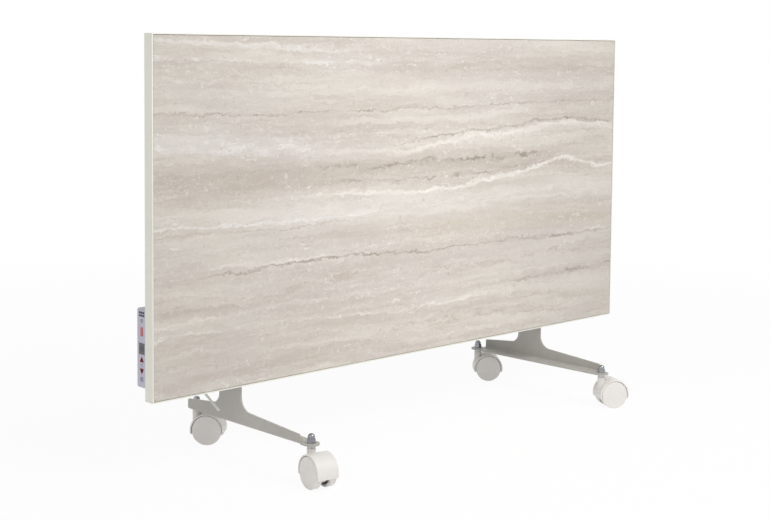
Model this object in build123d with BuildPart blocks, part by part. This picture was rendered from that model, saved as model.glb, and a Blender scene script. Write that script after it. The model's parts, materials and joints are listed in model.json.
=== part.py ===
"""Infrared panel heater: a stone-faced heating panel on two bent-sheet legs with four twin-wheel castors.

Millimetres. X runs along the panel, the tile faces -Y, and Z is up. The origin lies on the floor, below
the middle of the tile's face.
"""

import os
from math import cos, radians, sin

from build123d import *

os.makedirs("parts", exist_ok=True)

# Panel
panel_width = 1200.0
panel_height = 600.0
frame_wall = 2.0
frame_return = 14.0
return_thickness = 2.0
corner_radius = 1.0
cover_thickness = 1.2
tile_thickness = 7.5
tile_recess = 0.5
tile_gap = 0.8
tile_edge_round = 0.4
bed_thickness = 1.0
film_thickness = 0.6
insulation_thickness = 8.7
busbar_width = 12.0
busbar_thickness = 0.3
busbar_inset = 30.0
core_clearance = 1.0
slip = 0.2

# Rear cover screws
cover_screw_radius = 1.75
cover_screw_head_radius = 3.2
cover_screw_head_height = 2.0
cover_screws_across = 6
cover_screws_up = 4
screw_clearance = 0.05

# Legs, bent from sheet
leg_inset = 200.0
leg_sheet = 3.0
bend_inner = 2.0
bend_flat = 1.0
foot_drop = 76.0
front_arm_end = 133.0
rear_arm_end = 181.0
front_tip_height = 16.5
front_root_height = 27.5
rear_tip_height = 19.0
rear_root_height = 29.0
front_root_radius = 25.5
rear_root_radius = 20.0
tip_radius = 6.0
neck_gap = 2.9
neck_width = 60.5
neck_rise = 165.0
neck_top_radius = 18.0
mount_width = 50.0
mount_start = 16.0
tab_radius = 14.0
front_stem_reach = 145.0
front_stem_inset = 14.0
rear_stem_reach = 186.0
rear_stem_inset = 23.0

# Leg fastening
leg_screw_radius = 3.0
leg_screw_head_radius = 5.25
leg_screw_head_height = 3.3
leg_screw_socket = 4.0
leg_screw_inset = 28.0
leg_screw_first = 35.0
leg_screw_pitch = 50.0
leg_screw_count = 3
leg_hole_clearance = 0.3
leg_washer_radius = 6.4
leg_washer_thickness = 1.2
leg_nut_width = 10.0
leg_nut_thickness = 5.0
rail_width = 50.0

# Castors
wheel_radius = 27.0
wheel_outer_face = 21.5
wheel_inner_face = 7.8
wheel_rim = 4.0
wheel_disc = 2.2
wheel_dome = 0.9
wheel_hub_radius = 6.5
wheel_edge_round = 1.6
axle_radius = 3.0
axle_running_gap = 0.05
axle_end_gap = 0.2
hood_gap = 0.9
hood_wall = 2.8
hood_width = 41.0
hood_skirt = 7.0
hood_edge_round = 1.2
web_width = 14.6
web_drop = 19.0
castor_trail = 21.5
tower_radius = 7.5
tower_rise = 34.5
tower_edge_round = 1.0
stem_pin_radius = 4.0
stem_pin_length = 25.0
stem_thread_radius = 4.0
stem_thread_rise = 14.0
collar_radius = 7.0
collar_height = 4.7
swivel_gap = 0.3
castor_washer_radius = 7.6
castor_washer_thickness = 1.2
cap_nut_width = 13.0
cap_nut_hex_height = 6.5
cap_nut_dome_radius = 6.1
cap_nut_height = 15.0
castor_headings = {
    "front_left": -98.0,
    "front_right": -28.0,
    "rear_left": -47.0,
    "rear_right": -41.0,
}

# Control unit
control_inset = 4.0
control_width = 76.0
control_height = 132.0
control_depth = 30.0
control_rise = 19.0
control_wall = 2.2
control_base_thickness = 2.5
control_corner = 4.0
control_edge_round = 2.5
label_thickness = 0.4
label_width = 22.5
label_margin = 4.0
window_width = 15.5
window_height = 18.7
window_offset = -0.25
window_thickness = 2.4
window_proud = 0.2
fixed_gap = 0.15
module_margin = 1.5
key_gap = 0.3
key_proud = 0.8
key_travel = 0.6
key_flange = 0.7
key_flange_margin = 0.8
arrow_key_size = 5.4
arrow_key_round = 1.4
up_key_offset = -19.2
down_key_offset = -36.5
mode_key_radius = 4.2
mode_key_offset = -50.9
pilot_width = 7.0
pilot_height = 16.0
pilot_offset = 28.0
pilot_proud = 0.5
board_thickness = 1.6
key_board_width = 20.0
key_board_height = 112.0
switch_size = 6.0
power_board_width = 52.0
power_board_height = 88.0
standoff_height = 3.0
standoff_radius = 2.5
relay_size = (15.5, 29.0, 12.7)
relay_offset = (-14.0, 22.0)
transformer_size = (24.0, 28.0, 15.5)
transformer_offset = (8.0, -20.0)
boss_radius = 3.5
boss_inset = 9.0
boss_offsets = (-17.0, 18.0)
housing_screw_radius = 1.5
housing_screw_head_radius = 3.0
base_screw_inset = (18.0, 16.0)
base_screw_head_height = 1.8

# Mains inlet and room sensor
inlet_offset_x = 13.0
inlet_bore_radius = 3.75
inlet_thread_radius = 6.0
inlet_hex_width = 15.0
inlet_hex_height = 4.0
inlet_nose_radius = 6.6
inlet_nose_height = 8.0
inlet_thread_length = 9.0
inlet_nut_width = 17.0
inlet_nut_height = 4.0
sensor_rise = 34.0
sensor_tube_radius = 2.0
sensor_bend_out = 13.4
sensor_bend_radius = 14.0
sensor_slope = 49.4
sensor_reach = 104.0
sensor_tip_radius = 2.4
sensor_tip_length = 22.0
sensor_tip_grip = 6.0
sensor_gland_radius = 4.0
sensor_gland_flange = 5.5
sensor_gland_nose = 5.0

# Wiring inside the panel
service_inset = 12.0
service_width = 116.0
service_bottom = 22.0
service_top = 150.0
grommet_offset = (2.0, -28.0)
grommet_radius = 6.8
grommet_bore = 4.0
grommet_flange_radius = 9.0
grommet_flange = 1.5
terminal_size = (34.0, 8.0, 16.0)
terminal_rise = 120.0
cutout_radius = 8.0
cutout_height = 5.0
cutout_rise = 84.0
lead_radius = 1.2
lead_clearance = 0.3

# Worked-out levels
tower_top = wheel_radius + tower_rise
castor_height = tower_top + swivel_gap + collar_height
foot_top = castor_height + leg_sheet
panel_bottom = castor_height + foot_drop
panel_top = panel_bottom + panel_height
panel_middle = panel_bottom + panel_height / 2
tile_back = tile_recess + tile_thickness
bed_back = tile_back + bed_thickness
film_back = bed_back + film_thickness
return_front = film_back + insulation_thickness
cover_front = return_front + return_thickness
panel_depth = cover_front + cover_thickness
inner_width = panel_width - 2 * frame_wall
inner_height = panel_height - 2 * frame_wall
core_width = inner_width - 2 * core_clearance
core_height = inner_height - 2 * core_clearance
mount_back = panel_depth + leg_sheet
leg_face_x = panel_width / 2 - leg_inset
leg_screw_x = leg_face_x - leg_screw_inset
control_left = control_inset - panel_width / 2
control_right = control_left + control_width
control_x = control_left + control_width / 2
control_bottom = panel_bottom + control_rise
control_z = control_bottom + control_height / 2
base_back = panel_depth + control_base_thickness
control_back = panel_depth + control_depth
control_mid_y = panel_depth + control_depth / 2
service_left = service_inset - inner_width / 2


def facing(depth):
    """Plane across the panel at a depth behind the tile's face: X right, Z up, extrusions run forwards."""
    return Plane.XZ.offset(-depth)


def save(builder, name):
    """Label a finished piece and write it to its own file."""
    builder.part.label = name
    export_step(builder.part, f"parts/{name}.step")


def cover_screw_places():
    """Centres of the rear cover's screws, along the middle of the frame's return."""
    reach_x = inner_width - frame_return
    reach_z = inner_height - frame_return
    places = []
    for column in range(cover_screws_across):
        x = reach_x * (column / (cover_screws_across - 1) - 0.5)
        places.append((x, panel_middle - reach_z / 2))
        places.append((x, panel_middle + reach_z / 2))
    for row in range(1, cover_screws_up - 1):
        z = panel_middle + reach_z * (row / (cover_screws_up - 1) - 0.5)
        places.append((-reach_x / 2, z))
        places.append((reach_x / 2, z))
    return places


def leg_screw_places():
    """Centres of the screws that hold both legs to the panel's rails."""
    rows = [panel_bottom + leg_screw_first + leg_screw_pitch * row for row in range(leg_screw_count)]
    return [(side * leg_screw_x, z) for side in (-1, 1) for z in rows]


def base_screw_places():
    """Centres of the screws that hold the control base to the rear cover."""
    half_x = control_width / 2 - base_screw_inset[0]
    half_z = control_height / 2 - base_screw_inset[1]
    return [(control_x + a * half_x, control_z + b * half_z) for a in (-1, 1) for b in (-1, 1)]


grommet_place = (control_x + grommet_offset[0], control_z + grommet_offset[1])

# Case frame: a folded tray with a return along its rear edge
with BuildPart() as case_frame:
    with BuildSketch(facing(panel_depth)):
        with Locations((0, panel_middle)):
            RectangleRounded(panel_width, panel_height, corner_radius)
            Rectangle(inner_width, inner_height, mode=Mode.SUBTRACT)
    extrude(amount=panel_depth)
    with BuildSketch(facing(cover_front)):
        with Locations((0, panel_middle)):
            Rectangle(inner_width, inner_height)
            Rectangle(
                inner_width - 2 * frame_return,
                inner_height - 2 * frame_return,
                mode=Mode.SUBTRACT,
            )
    extrude(amount=return_thickness)
    with BuildSketch(facing(cover_front)):
        with Locations(*cover_screw_places()):
            Circle(cover_screw_radius + screw_clearance)
    extrude(amount=return_thickness, mode=Mode.SUBTRACT)
save(case_frame, "case_frame")

# Tile
with BuildPart() as stone_tile:
    with BuildSketch(facing(tile_back)):
        with Locations((0, panel_middle)):
            Rectangle(inner_width - 2 * tile_gap, inner_height - 2 * tile_gap)
    extrude(amount=tile_thickness)
    chamfer(stone_tile.faces().sort_by(Axis.Y)[0].edges(), tile_edge_round)
save(stone_tile, "stone_tile")

# Heat-conducting bed under the tile
with BuildPart() as tile_bed:
    with BuildSketch(facing(bed_back)):
        with Locations((0, panel_middle)):
            Rectangle(core_width, core_height)
    extrude(amount=bed_thickness)
save(tile_bed, "tile_bed")

# Heating film
with BuildPart() as heating_film:
    with BuildSketch(facing(film_back)):
        with Locations((0, panel_middle)):
            Rectangle(core_width, core_height)
    extrude(amount=film_thickness)
save(heating_film, "heating_film")

# Copper busbars along the film's lower and upper edges
busbar_length = core_width - 2 * busbar_width
busbar_levels = (panel_bottom + busbar_inset, panel_top - busbar_inset)
with BuildPart() as busbars:
    with BuildSketch(facing(film_back + busbar_thickness)):
        with Locations(*[(0, z) for z in busbar_levels]):
            Rectangle(busbar_length, busbar_width)
    extrude(amount=busbar_thickness)
save(busbars, "busbars")

# Insulation board, with room for busbars, leg nuts and the wiring
riser_x = service_left + 2 * lead_radius + lead_clearance
riser_depth = 4 * lead_radius
nut_front = return_front - leg_nut_thickness
screw_end = nut_front - leg_washer_thickness
with BuildPart() as insulation_board:
    with BuildSketch(facing(return_front)):
        with Locations((0, panel_middle)):
            Rectangle(core_width, core_height)
    extrude(amount=insulation_thickness)
    with BuildSketch(facing(film_back + busbar_thickness)):
        with Locations(*[(0, z) for z in busbar_levels]):
            Rectangle(busbar_length + 2 * slip, busbar_width + 2 * slip)
    extrude(amount=busbar_thickness, mode=Mode.SUBTRACT)
    with BuildSketch(facing(return_front)):
        with Locations(*leg_screw_places()):
            Circle(leg_nut_width / 2 / cos(radians(30)) + slip)
    extrude(amount=return_front - screw_end + slip, mode=Mode.SUBTRACT)
    with BuildSketch(facing(return_front)):
        with Locations((service_left, panel_bottom + service_bottom)):
            Rectangle(service_width, service_top - service_bottom, align=(Align.MIN, Align.MIN))
    extrude(amount=insulation_thickness, mode=Mode.SUBTRACT)
    with BuildSketch(facing(film_back + riser_depth)):
        with Locations((riser_x, panel_bottom + service_top)):
            Rectangle(
                2 * lead_radius + 2 * lead_clearance,
                busbar_levels[1] - panel_bottom - service_top,
                align=(Align.CENTER, Align.MIN),
            )
    extrude(amount=riser_depth, mode=Mode.SUBTRACT)
save(insulation_board, "insulation_board")

# Support rails behind the insulation, which take the legs' load
with BuildPart() as support_rails:
    with BuildSketch(facing(cover_front)):
        with Locations((-leg_screw_x, panel_middle), (leg_screw_x, panel_middle)):
            Rectangle(rail_width, inner_height - 2 * frame_return - 2 * slip)
    extrude(amount=return_thickness)
    with BuildSketch(facing(cover_front)):
        with Locations(*leg_screw_places()):
            Circle(leg_screw_radius + leg_hole_clearance)
    extrude(amount=return_thickness, mode=Mode.SUBTRACT)
save(support_rails, "support_rails")

# Weld nuts on the rails
with BuildPart() as leg_nuts:
    with BuildSketch(facing(return_front)):
        with Locations(*leg_screw_places()):
            RegularPolygon(leg_nut_width / 2, 6, major_radius=False)
            Circle(leg_screw_radius + screw_clearance, mode=Mode.SUBTRACT)
    extrude(amount=leg_nut_thickness)
save(leg_nuts, "leg_nuts")

# Rear cover
with BuildPart() as rear_cover:
    with BuildSketch(facing(panel_depth)):
        with Locations((0, panel_middle)):
            Rectangle(inner_width - 2 * slip, inner_height - 2 * slip)
        with Locations(*cover_screw_places()):
            Circle(cover_screw_radius + screw_clearance, mode=Mode.SUBTRACT)
        with Locations(*leg_screw_places()):
            Circle(leg_screw_radius + leg_hole_clearance, mode=Mode.SUBTRACT)
        with Locations(*base_screw_places()):
            Circle(housing_screw_radius + screw_clearance, mode=Mode.SUBTRACT)
        with Locations(grommet_place):
            Circle(grommet_radius + slip, mode=Mode.SUBTRACT)
    extrude(amount=cover_thickness)
save(rear_cover, "rear_cover")

with BuildPart() as rear_cover_screws:
    with BuildSketch(facing(panel_depth + cover_screw_head_height)):
        with Locations(*cover_screw_places()):
            Circle(cover_screw_head_radius)
    extrude(amount=cover_screw_head_height)
    chamfer(
        rear_cover_screws.edges().group_by(Axis.Y)[-1],
        cover_screw_head_height / 4,
    )
    with BuildSketch(facing(panel_depth)):
        with Locations(*cover_screw_places()):
            Circle(cover_screw_radius)
    extrude(amount=cover_thickness + return_thickness)
    with BuildSketch(facing(panel_depth + cover_screw_head_height)):
        with Locations(*cover_screw_places()):
            Rectangle(cover_screw_head_radius * 1.2, cover_screw_radius / 3)
            Rectangle(cover_screw_radius / 3, cover_screw_head_radius * 1.2)
    extrude(amount=cover_screw_head_height / 2, mode=Mode.SUBTRACT)
save(rear_cover_screws, "rear_cover_screws")

# Legs. The section below is the left leg; the right leg is its mirror image
bend_outer = bend_inner + leg_sheet
bend_run = bend_outer + bend_flat
neck_front = mount_back + neck_gap
neck_rear = neck_front + neck_width
neck_top = panel_bottom + neck_rise
mount_bottom = panel_bottom + mount_start
plate_bottom = castor_height + bend_run
bend_back = panel_depth + bend_run
front_stem = (front_stem_inset - leg_face_x, -front_stem_reach)
rear_stem = (rear_stem_inset - leg_face_x, rear_stem_reach)


def make_leg():
    """Left leg: neck and arms in one upright plate, with the foot and the mounting flange bent from it."""
    with BuildPart() as leg:
        with BuildSketch(Plane.YZ.offset(-leg_face_x)):
            with BuildLine():
                FilletPolyline(
                    (-front_arm_end, plate_bottom),
                    (-front_arm_end, castor_height + front_tip_height),
                    (neck_front, castor_height + front_root_height),
                    (neck_front, mount_bottom),
                    (bend_back, mount_bottom),
                    (bend_back, neck_top),
                    (neck_rear, neck_top),
                    (neck_rear, castor_height + rear_root_height),
                    (rear_arm_end, castor_height + rear_tip_height),
                    (rear_arm_end, plate_bottom),
                    radius=[
                        0,
                        tip_radius,
                        front_root_radius,
                        0,
                        0,
                        0,
                        neck_top_radius,
                        rear_root_radius,
                        tip_radius / 2,
                        0,
                    ],
                    close=True,
                )
            make_face()
        extrude(amount=leg_sheet)
        with BuildSketch(Plane.XZ.offset(-rear_arm_end)):
            with BuildLine():
                FilletPolyline(
                    (-leg_face_x, plate_bottom),
                    (-leg_face_x, castor_height),
                    (bend_run - leg_face_x, castor_height),
                    radius=[bend_outer],
                )
                Line((bend_run - leg_face_x, castor_height), (bend_run - leg_face_x, foot_top))
                FilletPolyline(
                    (bend_run - leg_face_x, foot_top),
                    (leg_sheet - leg_face_x, foot_top),
                    (leg_sheet - leg_face_x, plate_bottom),
                    radius=[bend_inner],
                )
                Line((leg_sheet - leg_face_x, plate_bottom), (-leg_face_x, plate_bottom))
            make_face()
        extrude(amount=front_arm_end + rear_arm_end)
        with BuildSketch(Plane.XY.offset(castor_height)):
            with Locations(front_stem, rear_stem):
                Circle(tab_radius)
            make_hull()
            with Locations((-leg_face_x, -front_arm_end)):
                Rectangle(
                    bend_run,
                    front_arm_end + rear_arm_end,
                    align=(Align.MIN, Align.MIN),
                    mode=Mode.SUBTRACT,
                )
        extrude(amount=leg_sheet)
        with BuildSketch(Plane.XY.offset(castor_height)):
            with Locations(front_stem, rear_stem):
                Circle(stem_thread_radius + leg_hole_clearance)
        extrude(amount=leg_sheet, mode=Mode.SUBTRACT)
        with BuildSketch(Plane.XY.offset(mount_bottom)):
            with BuildLine():
                FilletPolyline(
                    (-leg_face_x, bend_back),
                    (-leg_face_x, panel_depth),
                    (mount_width - leg_face_x, panel_depth),
                    radius=[bend_outer],
                )
                Line((mount_width - leg_face_x, panel_depth), (mount_width - leg_face_x, mount_back))
                FilletPolyline(
                    (mount_width - leg_face_x, mount_back),
                    (leg_sheet - leg_face_x, mount_back),
                    (leg_sheet - leg_face_x, bend_back),
                    radius=[bend_inner],
                )
                Line((leg_sheet - leg_face_x, bend_back), (-leg_face_x, bend_back))
            make_face()
        extrude(amount=neck_top - mount_bottom)
        with BuildSketch(facing(mount_back)):
            with Locations(*leg_screw_places()[:leg_screw_count]):
                Circle(leg_screw_radius + leg_hole_clearance)
        extrude(amount=leg_sheet, mode=Mode.SUBTRACT)
    return leg


left_leg = make_leg()
save(left_leg, "left_leg")

with BuildPart() as right_leg:
    mirror(left_leg.part, about=Plane.YZ)
save(right_leg, "right_leg")

# Leg screws and washers
washer_back = mount_back + leg_washer_thickness
with BuildPart() as leg_washers:
    with BuildSketch(facing(washer_back)):
        with Locations(*leg_screw_places()):
            Circle(leg_washer_radius)
            Circle(leg_screw_radius + leg_hole_clearance, mode=Mode.SUBTRACT)
    extrude(amount=leg_washer_thickness)
save(leg_washers, "leg_washers")

with BuildPart() as leg_screws:
    with BuildSketch(facing(washer_back + leg_screw_head_height)):
        with Locations(*leg_screw_places()):
            Circle(leg_screw_head_radius)
    extrude(amount=leg_screw_head_height)
    fillet(leg_screws.edges().group_by(Axis.Y)[-1], leg_screw_head_height * 0.4)
    with BuildSketch(facing(washer_back)):
        with Locations(*leg_screw_places()):
            Circle(leg_screw_radius)
    extrude(amount=washer_back - screw_end)
    with BuildSketch(facing(washer_back + leg_screw_head_height)):
        with Locations(*leg_screw_places()):
            RegularPolygon(leg_screw_socket / 2, 6, major_radius=False)
    extrude(amount=leg_screw_head_height * 0.6, mode=Mode.SUBTRACT)
save(leg_screws, "leg_screws")

# Castor stems, washers and cap nuts stay with the legs
stem_places = {
    "front_left": front_stem,
    "front_right": (-front_stem[0], front_stem[1]),
    "rear_left": rear_stem,
    "rear_right": (-rear_stem[0], rear_stem[1]),
}
castor_washer_top = foot_top + castor_washer_thickness

with BuildPart() as castor_stems:
    with BuildSketch(Plane.XY.offset(tower_top + swivel_gap)):
        with Locations(*stem_places.values()):
            Circle(collar_radius)
    extrude(amount=collar_height)
    with BuildSketch(Plane.XY.offset(castor_height)):
        with Locations(*stem_places.values()):
            Circle(stem_thread_radius)
    extrude(amount=stem_thread_rise)
    with BuildSketch(Plane.XY.offset(tower_top + swivel_gap)):
        with Locations(*stem_places.values()):
            Circle(stem_pin_radius)
    extrude(amount=-stem_pin_length)
    chamfer(castor_stems.edges().group_by(Axis.Z)[0], stem_pin_radius / 5)
    chamfer(castor_stems.edges().group_by(Axis.Z)[-1], stem_thread_radius / 5)
save(castor_stems, "castor_stems")

with BuildPart() as castor_washers:
    with BuildSketch(Plane.XY.offset(foot_top)):
        with Locations(*stem_places.values()):
            Circle(castor_washer_radius)
            Circle(stem_thread_radius + leg_hole_clearance, mode=Mode.SUBTRACT)
    extrude(amount=castor_washer_thickness)
save(castor_washers, "castor_washers")

cap_nut_bore = castor_height + stem_thread_rise + swivel_gap - castor_washer_top
with BuildPart() as castor_cap_nuts:
    with BuildSketch(Plane.XY.offset(castor_washer_top)):
        with Locations(*stem_places.values()):
            RegularPolygon(cap_nut_width / 2, 6, major_radius=False)
    extrude(amount=cap_nut_hex_height)
    with BuildSketch(Plane.XY.offset(castor_washer_top)):
        with Locations(*stem_places.values()):
            Circle(cap_nut_dome_radius)
    extrude(amount=cap_nut_height)
    fillet(castor_cap_nuts.edges().group_by(Axis.Z)[-1], cap_nut_dome_radius * 0.9)
    with BuildSketch(Plane.XY.offset(castor_washer_top)):
        with Locations(*stem_places.values()):
            Circle(stem_thread_radius + screw_clearance)
    extrude(amount=cap_nut_bore, mode=Mode.SUBTRACT)
save(castor_cap_nuts, "castor_cap_nuts")

# Castors: a hood that swivels on the stem, an axle through its web, and a wheel on each side
hood_radius = wheel_radius + hood_gap + hood_wall
socket_bottom = tower_top + swivel_gap - stem_pin_length - swivel_gap
axle_half = wheel_outer_face - wheel_disc - axle_end_gap


def make_hood(stem, side_plane):
    """Hood of one castor: an open cover over both wheels, the web between them and the stem's tower."""
    with BuildPart() as hood:
        with BuildSketch(side_plane):
            Circle(hood_radius)
            Circle(wheel_radius + hood_gap, mode=Mode.SUBTRACT)
            with Locations((0, -hood_skirt)):
                Rectangle(
                    3 * hood_radius,
                    2 * hood_radius,
                    align=(Align.CENTER, Align.MAX),
                    mode=Mode.SUBTRACT,
                )
        extrude(amount=hood_width / 2, both=True)
        round_edges = hood.edges().filter_by(GeomType.CIRCLE)
        fillet(round_edges.filter_by(lambda e: e.radius > hood_radius - hood_wall / 2), hood_edge_round)
        with BuildSketch(side_plane):
            Circle(hood_radius - hood_wall / 2)
            with Locations((0, -hood_skirt)):
                Rectangle(
                    3 * hood_radius,
                    2 * hood_radius,
                    align=(Align.CENTER, Align.MAX),
                    mode=Mode.SUBTRACT,
                )
            Circle(web_drop)
        extrude(amount=web_width / 2, both=True)
        with BuildSketch(Plane.XY.offset(wheel_radius)):
            with Locations(stem):
                Circle(tower_radius)
        extrude(amount=tower_rise)
        chamfer(hood.edges().group_by(Axis.Z)[-1], tower_edge_round)
        with BuildSketch(Plane.XY.offset(socket_bottom)):
            with Locations(stem):
                Circle(stem_pin_radius + axle_running_gap)
        extrude(amount=stem_pin_length + swivel_gap, mode=Mode.SUBTRACT)
        with BuildSketch(side_plane):
            Circle(axle_radius + screw_clearance)
        extrude(amount=web_width / 2, both=True, mode=Mode.SUBTRACT)
    return hood


def make_wheel(centre, outwards):
    """One wheel: a domed disc outside, a rim, and a blind hub that runs on the axle's end."""
    hub_end = wheel_outer_face - wheel_disc
    rim_inside = wheel_radius - wheel_rim
    face_edge = wheel_outer_face - wheel_dome
    face_radius = wheel_radius - wheel_edge_round
    half_round = wheel_edge_round * (1 - cos(radians(45)))
    with BuildPart() as wheel:
        with BuildSketch(Plane(centre, x_dir=outwards, z_dir=outwards.cross(Vector(0, 0, 1)))):
            with BuildLine():
                ThreePointArc(
                    (wheel_outer_face, 0),
                    (wheel_outer_face - wheel_dome / 4, face_radius / 2),
                    (face_edge, face_radius),
                )
                ThreePointArc(
                    (face_edge, face_radius),
                    (face_edge - half_round, wheel_radius - half_round),
                    (face_edge - wheel_edge_round, wheel_radius),
                )
                Polyline(
                    (face_edge - wheel_edge_round, wheel_radius),
                    (wheel_inner_face + wheel_edge_round, wheel_radius),
                    (wheel_inner_face, wheel_radius - wheel_edge_round),
                    (wheel_inner_face, rim_inside),
                    (hub_end - wheel_disc / 2, rim_inside),
                    (hub_end - wheel_disc / 2, wheel_hub_radius),
                    (wheel_inner_face, wheel_hub_radius),
                    (wheel_inner_face, axle_radius + axle_running_gap),
                    (hub_end, axle_radius + axle_running_gap),
                    (hub_end, 0),
                    (wheel_outer_face, 0),
                )
            make_face()
        revolve(axis=Axis(centre, outwards))
    return wheel


for corner, heading in castor_headings.items():
    stem = stem_places[corner]
    trail_way = Vector(cos(radians(heading)), sin(radians(heading)), 0)
    axle_way = trail_way.cross(Vector(0, 0, 1))
    centre = Vector(stem[0], stem[1], wheel_radius) + trail_way * castor_trail
    side_plane = Plane(centre, x_dir=trail_way, z_dir=axle_way)
    hood = make_hood(stem, side_plane)
    save(hood, f"{corner}_hood")
    with BuildPart() as axle:
        with BuildSketch(side_plane):
            Circle(axle_radius)
        extrude(amount=axle_half, both=True)
    save(axle, f"{corner}_axle")
    for number, side in ((1, 1), (2, -1)):
        wheel = make_wheel(centre, axle_way * side)
        save(wheel, f"{corner}_wheel_{number}")

# Control base on the rear cover
key_levels = {
    "up_button": control_z + up_key_offset,
    "down_button": control_z + down_key_offset,
    "mode_button": control_z + mode_key_offset,
}
window_level = control_z + window_offset
pilot_level = control_z + pilot_offset
boss_reach = control_height / 2 - boss_inset
boss_places = [
    (control_x + boss_offsets[0], control_z - boss_reach),
    (control_x + boss_offsets[1], control_z + boss_reach),
]
board_back = base_back + standoff_height
standoff_reach_x = power_board_width / 2 - standoff_radius
standoff_reach_z = power_board_height / 2 - standoff_radius
standoff_places = [
    (control_x + a * standoff_reach_x, control_z + b * standoff_reach_z)
    for a in (-1, 1)
    for b in (-1, 1)
]
with BuildPart() as control_base:
    with BuildSketch(facing(base_back)):
        with Locations((control_x, control_z)):
            RectangleRounded(control_width, control_height, control_corner)
    extrude(amount=control_base_thickness)
    with BuildSketch(facing(control_back - control_wall)):
        with Locations(*boss_places):
            Circle(boss_radius)
    extrude(amount=control_depth - control_wall - control_base_thickness)
    with BuildSketch(facing(board_back)):
        with Locations(*standoff_places):
            Circle(standoff_radius)
    extrude(amount=standoff_height)
    with BuildSketch(facing(control_back - control_wall)):
        with Locations(*boss_places):
            Circle(housing_screw_radius + screw_clearance)
    extrude(amount=control_depth / 2, mode=Mode.SUBTRACT)
    with BuildSketch(facing(base_back)):
        with Locations(*base_screw_places()):
            Circle(housing_screw_radius + screw_clearance)
        with Locations(grommet_place):
            Circle(grommet_radius + slip)
    extrude(amount=control_base_thickness, mode=Mode.SUBTRACT)
save(control_base, "control_base")

with BuildPart() as control_base_screws:
    with BuildSketch(facing(base_back + base_screw_head_height)):
        with Locations(*base_screw_places()):
            Circle(housing_screw_head_radius)
    extrude(amount=base_screw_head_height)
    with BuildSketch(facing(base_back)):
        with Locations(*base_screw_places()):
            Circle(housing_screw_radius)
    extrude(amount=control_base_thickness + cover_thickness + return_thickness / 2)
save(control_base_screws, "control_base_screws")

# Control housing. Its keys, window and lamp are on the side that faces away from the panel
def arrow_outline(grow):
    """Rounded triangle that points up, grown all round, as a sketch about its own middle."""
    with BuildSketch() as arrow:
        RegularPolygon(arrow_key_size + 2 * grow, 3, rotation=90)
        fillet(arrow.vertices(), arrow_key_round + grow)
    return arrow.sketch


arrow_outlines = {grow: arrow_outline(grow) for grow in (0, key_gap, key_flange_margin)}


def key_outline(name, grow):
    """Outline of one key on the open sketch, grown all round."""
    with Locations((control_mid_y, key_levels[name])):
        if name == "mode_button":
            Circle(mode_key_radius + grow)
        else:
            add(arrow_outlines[grow], rotation=0 if name == "up_button" else 180)


with BuildPart() as control_housing:
    with BuildSketch(facing(control_back)):
        with Locations((control_x, control_z)):
            RectangleRounded(control_width, control_height, control_corner)
    extrude(amount=control_depth - control_base_thickness)
    fillet(control_housing.faces().sort_by(Axis.Y)[-1].edges(), control_edge_round)
    with BuildSketch(facing(control_back - control_wall)):
        with Locations((control_x, control_z)):
            RectangleRounded(
                control_width - 2 * control_wall,
                control_height - 2 * control_wall,
                control_corner - control_wall / 2,
            )
    extrude(amount=control_depth - control_wall - control_base_thickness, mode=Mode.SUBTRACT)
    with BuildSketch(facing(control_back)):
        with Locations(*boss_places):
            Circle(housing_screw_head_radius)
    extrude(amount=control_wall / 2, mode=Mode.SUBTRACT)
    with BuildSketch(facing(control_back)):
        with Locations(*boss_places):
            Circle(housing_screw_radius + screw_clearance)
    extrude(amount=control_wall, mode=Mode.SUBTRACT)
    with BuildSketch(Plane.YZ.offset(control_left)):
        with Locations((control_mid_y, window_level)):
            Rectangle(window_width + 2 * fixed_gap, window_height + 2 * fixed_gap)
        with Locations((control_mid_y, pilot_level)):
            SlotOverall(pilot_height + 2 * fixed_gap, pilot_width + 2 * fixed_gap, rotation=90)
        for key in key_levels:
            key_outline(key, key_gap)
    extrude(amount=control_wall, mode=Mode.SUBTRACT)
    with BuildSketch(Plane.YZ.offset(control_right)):
        with Locations((control_mid_y, panel_bottom + sensor_rise)):
            Circle(sensor_gland_radius + fixed_gap)
    extrude(amount=-control_wall, mode=Mode.SUBTRACT)
    with BuildSketch(Plane.XY.offset(control_bottom)):
        with Locations((control_x + inlet_offset_x, control_mid_y)):
            Circle(inlet_thread_radius + fixed_gap)
    extrude(amount=control_wall, mode=Mode.SUBTRACT)
save(control_housing, "control_housing")

with BuildPart() as housing_screws:
    with BuildSketch(facing(control_back)):
        with Locations(*boss_places):
            Circle(housing_screw_head_radius - slip)
    extrude(amount=control_wall / 2)
    with BuildSketch(facing(control_back - control_wall / 2)):
        with Locations(*boss_places):
            Circle(housing_screw_radius)
    extrude(amount=control_depth / 3)
save(housing_screws, "housing_screws")

# Face overlay, display window, keys and pilot lamp
with BuildPart() as face_overlay:
    with BuildSketch(Plane.YZ.offset(control_left)):
        with Locations((control_mid_y, control_z)):
            RectangleRounded(label_width, control_height - 2 * label_margin, control_wall)
        with Locations((control_mid_y, window_level)):
            Rectangle(window_width + 2 * fixed_gap, window_height + 2 * fixed_gap, mode=Mode.SUBTRACT)
        with Locations((control_mid_y, pilot_level)):
            SlotOverall(
                pilot_height + 2 * fixed_gap,
                pilot_width + 2 * fixed_gap,
                rotation=90,
                mode=Mode.SUBTRACT,
            )
    extrude(amount=-label_thickness)
    with BuildSketch(Plane.YZ.offset(control_left)):
        for key in key_levels:
            key_outline(key, key_gap)
    extrude(amount=-label_thickness, mode=Mode.SUBTRACT)
save(face_overlay, "face_overlay")

window_front = control_left - label_thickness - window_proud
with BuildPart() as display_window:
    with BuildSketch(Plane.YZ.offset(window_front)):
        with Locations((control_mid_y, window_level)):
            RectangleRounded(window_width, window_height, fixed_gap)
    extrude(amount=window_thickness)
save(display_window, "display_window")

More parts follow.
